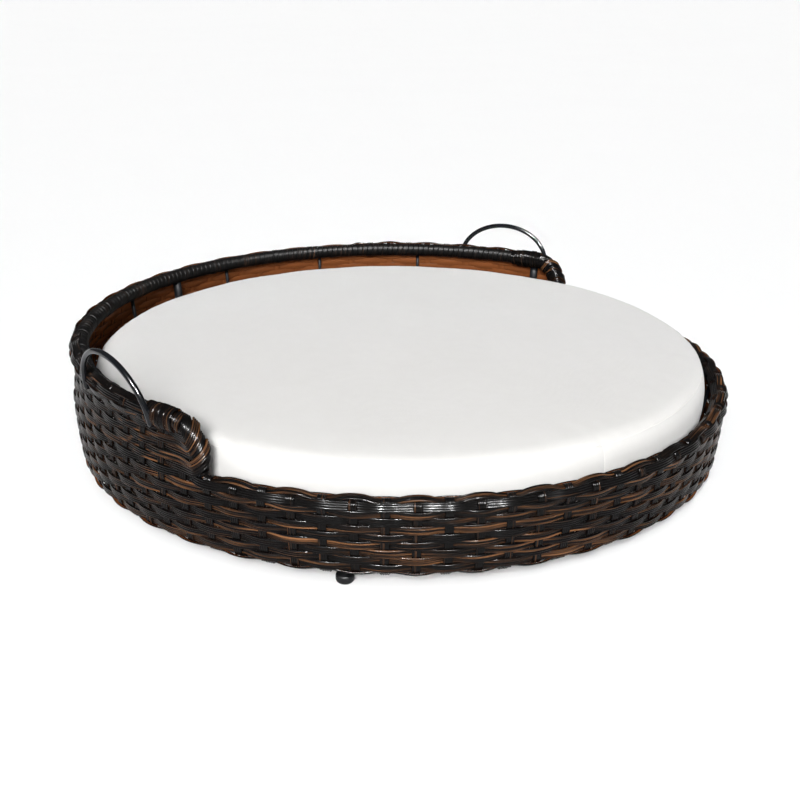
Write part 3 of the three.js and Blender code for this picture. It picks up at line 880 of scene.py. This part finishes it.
BINDING_RHO = 7.85 * MM
THIN_WRAP = ridged_section(8.5 * MM, 0.9 * MM, RIDGES, 2)
binding = ring_wrap(
    "base_binding_strip", BASE_RING_RADIUS, BASE_RING_Z, BINDING_RHO, 0, 360, THIN_WRAP,
    per_round=14, bumps=0.0, tint=0.3, seed=12, closed=True,
)
keep(binding, "basket", "wrap", "base_binding")


# ---------- frame tubes, uprights, handles and feet ----------


def ring_tube(name, radius, z, tube_radius, first, last, node):
    count = int((last - first) / 2.5)
    closed = last - first >= 360
    turn = np.linspace(first, last, count, endpoint=not closed)
    path = place(turn, radius, z)
    piece = one_sweep(name, path, outward(turn), round_section(tube_radius, 20), steel, closed=closed)
    return keep(piece, "basket", "frame", node)


ring_tube("base_ring_tube", BASE_RING_RADIUS, BASE_RING_Z, TUBE_RADIUS, 0, 360, "base_ring")
rail_radius = TUBE_RADIUS - 0.3 * MM
rail_turns = RAIL_END_TURN, 360 - RAIL_END_TURN
ring_tube("low_rail_tube", RIM_RADIUS, LOW_RIM_Z, rail_radius, *rail_turns, "low_rail")


def hoop_tube():
    left, right = ends[1], ends[-1]
    level = np.arange(-88, 88.1, 2.5)
    path = np.vstack([right.points[::-1], place(level, HIGH_RIM_RADIUS, HIGH_RIM_Z), left.points])
    away = unit(path * [1, 1, 0])
    piece = one_sweep("rim_hoop_tube", path, away, round_section(TUBE_RADIUS, 20), steel)
    return keep(piece, "basket", "frame", "rim_hoop")


hoop_tube()


def straight_tube(name, node, axis):
    low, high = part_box(node)
    radius = (high.z - low.z) / 2
    middle = (low + high) / 2
    start, end = middle.copy(), middle.copy()
    start[axis], end[axis] = low[axis], high[axis]
    path = np.array([start.lerp(end, t) for t in np.linspace(0, 1, 9)])
    out = np.tile([0, 0, 1.0], (9, 1))
    return keep(one_sweep(name, path, out, round_section(radius, 20), steel), "basket", "frame", node)


straight_tube("cross_tube_long_round", "cross_tube_long", 0)
straight_tube("cross_tube_front_round", "cross_tube_front", 1)
straight_tube("cross_tube_back_round", "cross_tube_back", 1)


def upright(node):
    """A round upright along the axis of a CAD one."""
    points = np.array([v.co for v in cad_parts[node].data.vertices])
    low_z, high_z = points[:, 2].min(), points[:, 2].max()
    near = 0.5 * MM
    start = points[points[:, 2] < low_z + near].mean(0)
    end = points[points[:, 2] > high_z - near].mean(0)
    across = points[points[:, 2] < low_z + near] - start
    radius = np.linalg.norm(across, axis=1).max() * math.cos(math.pi / 8)
    path = start + (end - start) * np.linspace(0, 1, 7)[:, None]
    out = np.tile(unit(start * [1, 1, 0]), (7, 1))
    piece = one_sweep(f"{node}_round", path, out, round_section(radius), hidden_steel)
    return keep(piece, "basket", "frame", node)


for node in sorted(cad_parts):
    if node.startswith(("post_", "rod_")):
        upright(node)

HANDLE_ROD_RADIUS = 3.5 * MM
HANDLE_HALF_WIDTH = 73 * MM
HANDLE_LEAN = math.radians(10)
HANDLE_WELD_RADIUS = 431.8 * MM - RIM_INSET
HANDLE_LEG = 3 * MM
HANDLE_TURNS = {"handle_left": 75.5, "handle_right": -80}


def handle(node):
    """A bent rod: a half ellipse on short legs, leaning outwards."""
    low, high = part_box(node)
    foot_z = low.z
    spring_z = foot_z + HANDLE_LEG
    rise = (high.z - HANDLE_ROD_RADIUS - spring_z) / math.cos(HANDLE_LEAN)
    a = np.radians(np.linspace(0, 180, 49))
    x = np.concatenate([[HANDLE_HALF_WIDTH], HANDLE_HALF_WIDTH * np.cos(a), [-HANDLE_HALF_WIDTH]])
    up = np.concatenate([[-HANDLE_LEG], rise * np.sin(a), [-HANDLE_LEG]])
    chord = math.sqrt(HANDLE_WELD_RADIUS**2 - HANDLE_HALF_WIDTH**2)
    back = chord - (HIGH_RIM_Z - spring_z) * math.tan(HANDLE_LEAN)
    path = np.column_stack([x, back + up * math.sin(HANDLE_LEAN), spring_z + up * math.cos(HANDLE_LEAN)])
    spin = np.array(Matrix.Rotation(math.radians(HANDLE_TURNS[node]), 3, "Z"))
    path = path @ spin.T
    lean_out = spin @ np.array([0, math.cos(HANDLE_LEAN), -math.sin(HANDLE_LEAN)])
    out = np.tile(lean_out, (len(path), 1))
    piece = one_sweep(f"{node}_rod", path, out, round_section(HANDLE_ROD_RADIUS, 24), steel)
    return keep(piece, "basket", "frame", node)


for node in HANDLE_TURNS:
    handle(node)

FOOT_STEM_RADIUS = 2.5 * MM


def foot(node):
    """A round glide with a domed sole and a stem."""
    low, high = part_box(node)
    radius = (high.x - low.x) / 2
    head = 10.2 * MM
    profile = [[0, 0], [radius * 0.55, 0], [radius * 0.8, 0.7 * MM], [radius * 0.94, 2.2 * MM]]
    profile += [[radius, 4.4 * MM], [radius, 7.6 * MM], [radius * 0.96, 9.2 * MM]]
    profile += [[radius * 0.86, head], [FOOT_STEM_RADIUS, head]]
    profile += [[FOOT_STEM_RADIUS, high.z - 0.4 * MM], [FOOT_STEM_RADIUS * 0.8, high.z], [0, high.z]]
    piece = lathe(f"{node}_glide", profile, plastic, 40)
    centre = (low + high) / 2
    piece.location = (centre.x, centre.y, low.z)
    return keep(piece, "basket", "foot", node)


for node in ("foot_left", "foot_front", "foot_right", "foot_back"):
    foot(node)


# ---------- the woven floor ----------

FLOOR_WEFT = ridged_section(8.9 * MM, 1.2 * MM, RIDGES, 2)
FLOOR_STAKE_PITCH = 33 * MM
FLOOR_ROW_PITCH = 9.1 * MM
FLOOR_HALF_STRIP = 4.5 * MM
FLOOR_STATION = 6.3 * MM  # between the points along a row
FLOOR_LIFT = 1.25 * MM


def woven_floor():
    """Straight stakes with rows woven across them, trimmed to the round base."""
    rows = Sweeps()
    bars = Sweeps()
    edge = FLOOR_RADIUS - 1 * MM
    up = np.array([0, 0, 1.0])
    half_count = int(edge / FLOOR_STAKE_PITCH)
    for i in range(-half_count, half_count + 1):
        x = i * FLOOR_STAKE_PITCH
        reach = math.sqrt(max(edge**2 - (abs(x) + FLOOR_HALF_STRIP) ** 2, 0))
        y = np.linspace(-reach, reach, 9)
        path = np.column_stack([np.full(9, x), y, np.full(9, FLOOR_Z)])
        bars.add(path, np.tile(up, (9, 1)), FLOOR_WEFT, 0.2 + 0.5 * ((i * 7) % 5) / 5)
    row_count = int(edge / FLOOR_ROW_PITCH)
    for j in range(-row_count, row_count + 1):
        y = j * FLOOR_ROW_PITCH
        reach = math.sqrt(max(edge**2 - (abs(y) + FLOOR_HALF_STRIP) ** 2, 0))
        if reach < 20 * MM:
            continue
        x = np.linspace(-reach, reach, max(4, int(2 * reach / FLOOR_STATION)))
        swing = np.cos(np.pi * (x / FLOOR_STAKE_PITCH + j))
        lift = FLOOR_LIFT * np.sign(swing) * np.abs(swing) ** 0.75
        path = np.column_stack([x, np.full_like(x, y), FLOOR_Z + lift])
        tint = random.Random(700 + j).uniform(0.2, 0.75)
        rows.add(path, np.tile(up, (len(x), 1)), FLOOR_WEFT, tint)
    keep(bars.build("floor_stakes", floor_rattan), "basket", "floor_weave")
    keep(rows.build("floor_rows", floor_rattan), "basket", "floor_weave", "woven_floor")


woven_floor()


# ---------- the cushion ----------

ZIP_Z = (top_of("zip_tape") + bottom_of("zip_tape")) / 2
CUSHION_SHRINK = 3.2 * MM
CUSHION_EDGE = 9 * MM
SWELL_CAP = 3.0 * MM  # how far the simulation may move a point, which every point reaches
SWELL_STEPS = 20
VOXEL = 7.5 * MM
CROWN = 6.5 * MM  # how much higher the top is in the middle
BELLY = 11 * MM  # how far the side swells out
BELLY_Z = 97 * MM
END_ROOM_TURN = 89  # beside the turned-down ends the side swells less, so that it lifts out past them
END_ROOM_SHARE = 0.45


def cushion_start():
    """A closed disc with eased edges, a little smaller than the finished cushion."""
    radius = CUSHION_RADIUS - CUSHION_SHRINK
    low, high = CUSHION_BOTTOM_Z + CUSHION_SHRINK * 0.6, CUSHION_TOP_Z - CUSHION_SHRINK
    profile = [[0, low], [radius * 0.5, low], [radius - 2 * CUSHION_EDGE, low]]
    for a in np.radians(np.linspace(-90, 0, 6)):
        profile.append([radius - CUSHION_EDGE * (1 - math.cos(a)), low + CUSHION_EDGE * (1 + math.sin(a))])
    for a in np.radians(np.linspace(0, 90, 6)):
        profile.append([radius - CUSHION_EDGE * (1 - math.cos(a)), high - CUSHION_EDGE * (1 - math.sin(a))])
    profile += [[radius - 2 * CUSHION_EDGE, high], [radius * 0.5, high], [0, high]]
    return lathe("cushion_cover", profile, cover_cloth, 120)


def swell(piece):
    """The pressure makes a disc this wide balloon, so the cap holds at every point: the simulation
    gives the way that each one moves, and plump, wrinkle and sew give the cushion its shape.
    """
    remesh = piece.modifiers.new("remesh", "REMESH")
    remesh.mode = "VOXEL"
    remesh.voxel_size = VOXEL
    remesh.use_smooth_shade = True
    bpy.context.view_layer.objects.active = piece
    piece.select_set(True)
    bpy.ops.object.modifier_apply(modifier="remesh")
    start = np.array([v.co for v in piece.data.vertices])
    modifier = piece.modifiers.new("cloth", "CLOTH")
    settings = modifier.settings
    settings.use_pressure = True
    settings.uniform_pressure_force = 4
    settings.quality = 4
    settings.effector_weights.gravity = 0
    scene = bpy.context.scene
    for step in range(1, SWELL_STEPS + 1):
        scene.frame_set(step)
    bpy.ops.object.modifier_apply(modifier="cloth")
    scene.frame_set(1)
    moved = np.array([v.co for v in piece.data.vertices])
    shift = moved - start
    size = np.linalg.norm(shift, axis=1, keepdims=True)
    shift *= np.minimum(1, SWELL_CAP / np.maximum(size, 1e-9))
    return start + shift


WRINKLES = [  # turn, inner radius, outer radius, depth and half width of each faint fold in the top
    (217.6, 285, 380, 0.55, 3.0),
    (215.4, 270, 372, 0.35, 3.5),
    (205.2, 300, 376, 0.40, 3.5),
    (186.5, 290, 340, 0.30, 4.0),
]


def wrinkle(points):
    """Faint folds in the top near the right side, and a slack drift all over."""
    x, y, z = points.T
    top = smooth_step((z - (CUSHION_TOP_Z - 14 * MM)) / (8 * MM))
    drop = 0.5 * MM * (np.sin(x * 21 + 1.3) * np.sin(y * 17 + 0.4) + 0.6 * np.sin(x * 39 - y * 31))
    for turn, inner, outer, depth, half_width in WRINKLES:
        away = outward(np.array(turn))
        along = x * away[0] + y * away[1]
        off = x * -away[1] + y * away[0] + 6 * MM * np.sin(along * 25)
        share = np.clip((along - inner * MM) / ((outer - inner) * MM), 0, 1)
        drop += depth * MM * np.sin(math.pi * share) * np.exp(-((off / (half_width * MM)) ** 2)) * 2
    points[:, 2] -= top * (drop + 0.4 * MM)
    return points


SIDE_SEAM_TURN = 157.5
SEAM_INSET = 9 * MM  # how far the boxing seams are below and above the CAD's faces
TOP_SEAM_Z = CUSHION_TOP_Z - SEAM_INSET
BOTTOM_SEAM_Z = CUSHION_BOTTOM_Z + SEAM_INSET
SEAM_THREAD = 0.45 * MM
SEAM_SINK = 0.15 * MM  # how deep the thread lies in the cover


def sew(points):
    """Pulls the cover in at the boxing seams, with small puckers, and at the side seam."""
    x, y, z = points.T
    radius = np.hypot(x, y)
    turn = np.degrees(np.arctan2(-x, y))
    out = np.column_stack([x / np.maximum(radius, 1e-6), y / np.maximum(radius, 1e-6)])
    side = smooth_step((radius - (CUSHION_RADIUS - 16 * MM)) / (8 * MM))
    pucker = 0.22 * MM * np.sin(np.radians(turn) * 160) + 0.15 * MM * np.sin(np.radians(turn) * 97 + 2)
    pull = np.zeros_like(z)
    for seam_z in (TOP_SEAM_Z, BOTTOM_SEAM_Z):
        near = np.exp(-(((z - seam_z) / (3.0 * MM)) ** 2))
        pull += near * (0.9 * MM + pucker)
    gap = (turn - SIDE_SEAM_TURN + 180) % 360 - 180
    pull += 1.0 * MM * np.exp(-((np.radians(gap) * CUSHION_RADIUS / (3.2 * MM)) ** 2))
    middle = (CUSHION_TOP_Z + CUSHION_BOTTOM_Z) / 2
    half = (CUSHION_TOP_Z - CUSHION_BOTTOM_Z) / 2
    pull += 0.5 * MM * (1 - np.abs(z - middle) / half) * (1 + np.sin(np.radians(turn) * 9 + 1))
    points[:, 0] -= out[:, 0] * pull * side
    points[:, 1] -= out[:, 1] * pull * side
    return points


def plump(points):
    """Fills the cover out: a crowned top and a side that swells, but less at the zip and the ends."""
    x, y, z = points.T
    radius = np.hypot(x, y)
    turn = np.degrees(np.arctan2(-x, y))
    z = np.interp(z, [z.min(), z.max()], [CUSHION_BOTTOM_Z, CUSHION_TOP_Z + 2.6 * MM])
    at_side = smooth_step((radius / radius.max() - 0.5) / 0.5)
    belly = np.clip(1 - ((z - BELLY_Z) / (45 * MM)) ** 2, -0.6, 1) * BELLY
    at_zip = smooth_step((39 - np.abs(turn)) / 8) * smooth_step((30 * MM - np.abs(z - ZIP_Z)) / (14 * MM))
    belly *= 1 - at_zip
    at_end = smooth_step((11 - np.abs(np.abs(turn) - END_ROOM_TURN)) / 6)
    belly *= 1 - END_ROOM_SHARE * at_end
    grown = radius * CUSHION_RADIUS / radius.max() + belly * at_side
    share = (z - CUSHION_BOTTOM_Z) / (CUSHION_TOP_Z - CUSHION_BOTTOM_Z)
    z = z + CROWN * smooth_step((share - 0.5) * 2) * (1 - (radius / radius.max()) ** 2)
    wider = grown / np.maximum(radius, 1e-6)
    return np.column_stack([x * wider, y * wider, z])


def cushion():
    piece = cushion_start()
    points = plump(swell(piece))
    points = sew(wrinkle(points))
    piece.data.vertices.foreach_set("co", points.astype(np.float32).ravel())
    piece.data.update()
    subdivide = piece.modifiers.new("subdivide", "SUBSURF")
    subdivide.levels = subdivide.render_levels = 1
    bpy.ops.object.modifier_apply(modifier="subdivide")
    piece.data.polygons.foreach_set("use_smooth", np.ones(len(piece.data.polygons), bool))
    piece.select_set(False)
    return keep(piece, "cushion", "cover", "cover_top", "cover_bottom", "cover_band")


cushion_piece = cushion()


def surface_radius(turn, z):
    """The cushion's radius at a turn and height, from its own mesh."""
    away = Vector(outward(np.array(float(turn))))
    hit, place_hit, _, _ = cushion_piece.ray_cast(away * 0.6 + Vector((0, 0, z)), -away)
    return math.hypot(place_hit.x, place_hit.y) if hit else CUSHION_RADIUS


def seam(name, turn, z, z_drift=0.0, closed=False):
    """Overlocked seam thread lying in the cover's groove, at a turn and height for each point."""
    radius = np.array([surface_radius(t, height) for t, height in zip(turn, z)])
    path = place(turn, radius - SEAM_SINK, z + z_drift)
    piece = one_sweep(name, path, outward(turn), round_section(SEAM_THREAD, 6), thread_cloth, closed=closed)
    return keep(piece, "cushion", "cover")


all_round = np.linspace(0, 360, 720, endpoint=False)
stitch_drift = 0.12 * MM * np.sin(all_round * 9.0)
seam("seam_top", all_round, np.full(720, TOP_SEAM_Z), stitch_drift, closed=True)
seam("seam_bottom", all_round, np.full(720, BOTTOM_SEAM_Z), stitch_drift, closed=True)
side_heights = np.linspace(CUSHION_BOTTOM_Z + 10 * MM, CUSHION_TOP_Z - 10 * MM, 60)
seam("seam_side", np.full(60, SIDE_SEAM_TURN), side_heights)


def foam_core():
    low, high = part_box("foam_core")
    radius, ease = high.x, 3 * MM
    half = [[0, 0], [radius * 0.5, 0], [radius - ease, 0], [radius - 0.3 * ease, 0.3 * ease], [radius, ease]]
    profile = [[r, low.z + h] for r, h in half] + [[r, high.z - h] for r, h in reversed(half)]
    profile = [[r * 0.98, low.z + 3 * MM + (z - low.z) * 0.92] for r, z in profile]
    piece = lathe("foam_disc", profile, foam, 120)
    return keep(piece, "cushion", "foam", "foam_core")


foam_core()


# ---------- the zip ----------

ZIP_HALF_TURN = 30
TOOTH_PITCH = 2.0 * MM
SLIDER_TURN = -28


def zip_tape():
    """Two tapes, one each side of the teeth."""
    tapes = Sweeps()
    turn = np.linspace(-ZIP_HALF_TURN, ZIP_HALF_TURN, 121)
    for way in (1, -1):
        height = 10.2 * MM
        z = ZIP_Z + way * (height / 2 + 1.6 * MM)
        back = [(-height / 2, -0.4 * MM, 0, 0), (height / 2, -0.4 * MM, 1, 0)]
        face = [(height / 2, 0.1 * MM, 1, 1), (0, 0.4 * MM, 0.5, 1), (-height / 2, 0.1 * MM, 0, 1)]
        section = np.array(back + face)
        radius = np.array([surface_radius(t, z) for t in turn])
        radius = np.maximum(radius, CUSHION_RADIUS - 1 * MM) + 0.35 * MM
        tapes.add(place(turn, radius, z), outward(turn), section)
    return keep(tapes.build("zip_tapes", tape_cloth), "cushion", "zip_tape", "zip_tape")


def zip_teeth():
    teeth = Sweeps()
    across = ridged_section(1.5 * MM, 1.3 * MM, 1)
    count = int(math.radians(2 * ZIP_HALF_TURN - 2) * CUSHION_RADIUS / TOOTH_PITCH)
    for i in range(count):
        turn = -ZIP_HALF_TURN + 1 + (2 * ZIP_HALF_TURN - 2) * i / (count - 1)
        if abs(turn - SLIDER_TURN) < 1.0:
            continue
        shift = 0.35 * MM if i % 2 else -0.35 * MM
        z = ZIP_Z + shift + np.linspace(-2.3, 2.3, 5) * MM
        radius = CUSHION_RADIUS + np.array([-0.2, 0.5, 0.7, 0.5, -0.2]) * MM
        path = place(np.full(5, turn), radius, z)
        teeth.add(path, outward(np.full(5, turn)), across)
    return keep(teeth.build("zip_teeth", tape_cloth), "cushion", "zip_tape")


def zip_slider():
    """A shield-shaped slider with a bridge, and a pull hanging from it."""
    sweeps = Sweeps()
    turn_per = math.degrees(1 / (CUSHION_RADIUS + 3 * MM))
    length, height = 10.6 * MM, 7.6 * MM
    span = np.linspace(-0.5, 0.5, 13)
    turn = SLIDER_TURN + span * length * turn_per
    for depth, thick in ((2.1 * MM, 1.0 * MM), (4.3 * MM, 0.9 * MM)):
        path = place(turn, CUSHION_RADIUS + depth, ZIP_Z)
        rows = []
        for i in range(12):
            c, s = math.cos(math.pi * i / 6), math.sin(math.pi * i / 6)
            x = height / 2 * math.copysign(abs(c) ** 0.6, c)
            y = thick / 2 * math.copysign(abs(s) ** 0.6, s)
            rows.append((x, y, i / 12, 1.0))
        sweeps.add(path, outward(turn), np.array(rows))
    pull_z = np.linspace(ZIP_Z + 1.5 * MM, ZIP_Z - 19 * MM, 12)
    pull_turn = np.full(12, float(SLIDER_TURN))
    radius = CUSHION_RADIUS + 5.6 * MM + np.linspace(0, -1.4, 12) * MM
    rows = [(2.2 * MM, -0.4 * MM, 0, 0), (2.2 * MM, 0.4 * MM, 1, 1), (0, 0.6 * MM, 0.5, 1)]
    rows += [(-2.2 * MM, 0.4 * MM, 0, 1), (-2.2 * MM, -0.4 * MM, 0, 0)]
    sweeps.add(place(pull_turn, radius, pull_z), outward(pull_turn), np.array(rows))
    bridge_turn = SLIDER_TURN + np.linspace(-3.2, 3.2, 9) * MM * turn_per
    bridge_radius = CUSHION_RADIUS + np.array([4.2, 5.6, 6.3, 6.7, 6.8, 6.7, 6.3, 5.6, 4.2]) * MM
    sweeps.add(place(bridge_turn, bridge_radius, ZIP_Z), outward(bridge_turn), round_section(0.6 * MM, 8))
    return keep(sweeps.build("zip_pull", metal), "zip", "zip_metal", "zip_slider")


zip_tape()
zip_teeth()
zip_slider()


# ---------- floor, light and camera ----------


def stage_floor():
    n = Nodes("studio_floor")
    at = n.place()
    colours = [(0.0, (0.96, 0.96, 0.96)), (1.0, (0.98, 0.98, 0.98))]
    n.to_shader("Base Color", n.ramp(n.noise(at, 2.0), colours))
    n.set(Roughness=0.9, Specular_IOR_Level=0.1)
    mesh = bpy.data.meshes.new("studio_floor")
    reach = 40
    corners = [(-reach, -reach, 0), (reach, -reach, 0), (reach, reach, 0), (-reach, reach, 0)]
    mesh.from_pydata(corners, [], [(0, 1, 2, 3)])
    mesh.materials.append(n.material)
    floor = add_object("studio_floor", mesh)
    floor.location.z = -0.2 * MM


def view_back(azimuth, elevation):
    a, e = math.radians(azimuth), math.radians(elevation)
    return Vector((math.sin(a) * math.cos(e), -math.cos(a) * math.cos(e), math.sin(e)))


def lamp_from(name, kind, azimuth, elevation, strength):
    """A lamp that shines from a view direction towards the middle."""
    data = bpy.data.lights.new(name, kind)
    data.energy = strength
    lamp = add_object(name, data)
    lamp.rotation_mode = "QUATERNION"
    lamp.rotation_quaternion = (-view_back(azimuth, elevation)).to_track_quat("-Z", "Y")
    return lamp


def sun(name, azimuth, elevation, strength, angle, diffuse=True, gloss=True):
    lamp = lamp_from(name, "SUN", azimuth, elevation, strength)
    lamp.data.angle = math.radians(angle)
    lamp.visible_diffuse = diffuse
    lamp.visible_glossy = gloss


def near_lamp():
    """A soft lamp above the camera, which lights the near part of the cushion more than the far part."""
    lamp = lamp_from("near", "AREA", VIEW_AZIMUTH, NEAR_LAMP_ELEVATION, NEAR_LAMP_POWER)
    lamp.data.size = NEAR_LAMP_SIZE
    lamp.location = view_back(VIEW_AZIMUTH, NEAR_LAMP_ELEVATION) * NEAR_LAMP_DISTANCE
    lamp.visible_glossy = False


VIEW_AZIMUTH = -56.10
VIEW_ELEVATION = 22.83
VIEW_DISTANCE = 1.5314
AIM_Z = 13 * MM
PITCH_UP = 1.194
TURN_RIGHT = 0.025
ROLL = 0.546
LENS = 49.5
SENSOR_WIDTH = 36


def camera():
    """The camera at the photograph's viewing angle, with its small pitch, turn and roll."""
    back = view_back(VIEW_AZIMUTH, VIEW_ELEVATION)
    place_at = Vector((0, 0, AIM_Z)) + back * VIEW_DISTANCE
    ahead = -back
    right = ahead.cross(Vector((0, 0, 1))).normalized()
    up = right.cross(ahead)
    ahead = ahead + math.tan(math.radians(TURN_RIGHT)) * right + math.tan(math.radians(PITCH_UP)) * up
    ahead = ahead.normalized()
    right = ahead.cross(Vector((0, 0, 1))).normalized()
    up = right.cross(ahead)
    roll = math.radians(ROLL)
    c, s = math.cos(roll), math.sin(roll)
    right, up = c * right + s * up, -s * right + c * up
    data = bpy.data.cameras.new("camera")
    data.lens = LENS
    data.sensor_width = SENSOR_WIDTH
    data.clip_end = 200
    made = add_object("camera", data)
    turned = Matrix((right, up, -ahead)).transposed().to_4x4()
    made.matrix_world = Matrix.Translation(place_at) @ turned
    bpy.context.scene.camera = made


WORLD_LIGHT = 0.12
NEAR_LAMP_POWER = 2.8
NEAR_LAMP_DISTANCE = 1.25
NEAR_LAMP_ELEVATION = 48
NEAR_LAMP_SIZE = 0.9


def light():
    world = bpy.data.worlds.new("studio")
    bpy.context.scene.world = world
    world.use_nodes = True
    tree = world.node_tree
    seen = tree.nodes.new("ShaderNodeLightPath").outputs["Is Camera Ray"]
    strength = tree.nodes.new("ShaderNodeMapRange")
    strength.inputs["To Min"].default_value = WORLD_LIGHT
    strength.inputs["To Max"].default_value = 1.0
    tree.links.new(seen, strength.inputs["Value"])
    tree.links.new(strength.outputs["Result"], tree.nodes["Background"].inputs["Strength"])
    tree.nodes["Background"].inputs["Color"].default_value = (1, 1, 1, 1)
    # The key light has no gloss of its own; two narrow suns give the strips and rods their glints
    sun("key", VIEW_AZIMUTH - 8, 31, 5.3, 24, gloss=False)
    sun("glint_left", VIEW_AZIMUTH - 14, 50, 16, 3, diffuse=False)
    sun("glint_right", VIEW_AZIMUTH + 18, 44, 14, 3, diffuse=False)
    near_lamp()
    bpy.context.scene.view_settings.view_transform = "Standard"


stage_floor()
camera()
light()
